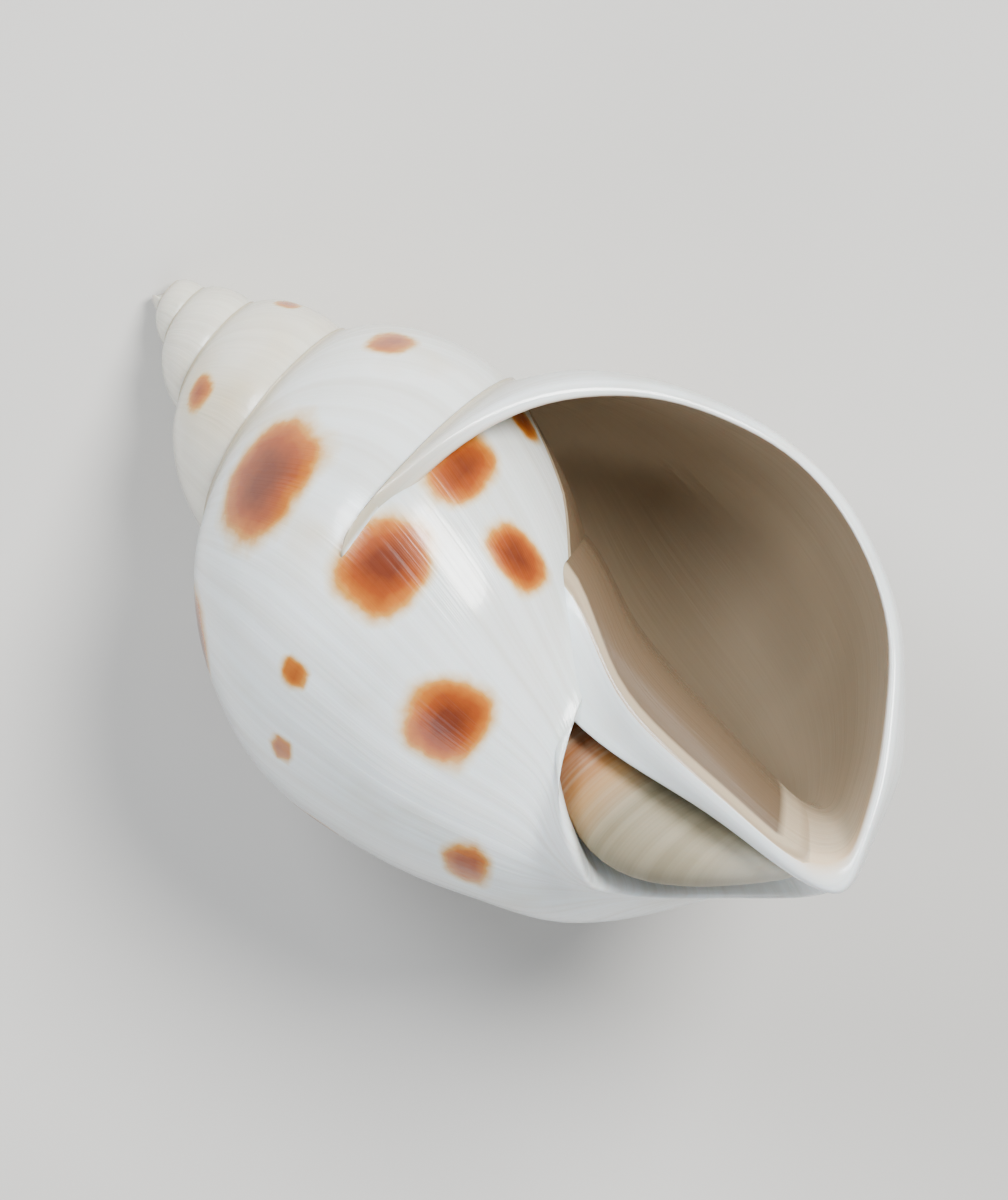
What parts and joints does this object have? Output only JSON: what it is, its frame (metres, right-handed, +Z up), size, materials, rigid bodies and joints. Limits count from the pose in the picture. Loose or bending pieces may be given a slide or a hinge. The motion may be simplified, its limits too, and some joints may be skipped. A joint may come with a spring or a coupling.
{
  "type": "spotted babylon shell",
  "caption": "Coiled marine snail shell with a pointed spire, rounded body whorl, wide oval mouth and ridged base, lying mouth up.",
  "frame": {"origin": "middle of the footprint's bounding box, on the surface the shell lies on", "axes": "+Z up with the mouth facing up, +Y towards the spire, +X towards the outer lip"},
  "size_m": [0.0368, 0.0468, 0.035],
  "materials": {
    "shell": "porcelain-like gloss with brown blotches"
  },
  "bodies": {
    "root": {"shell": "shell"}
  },
  "joints": []
}
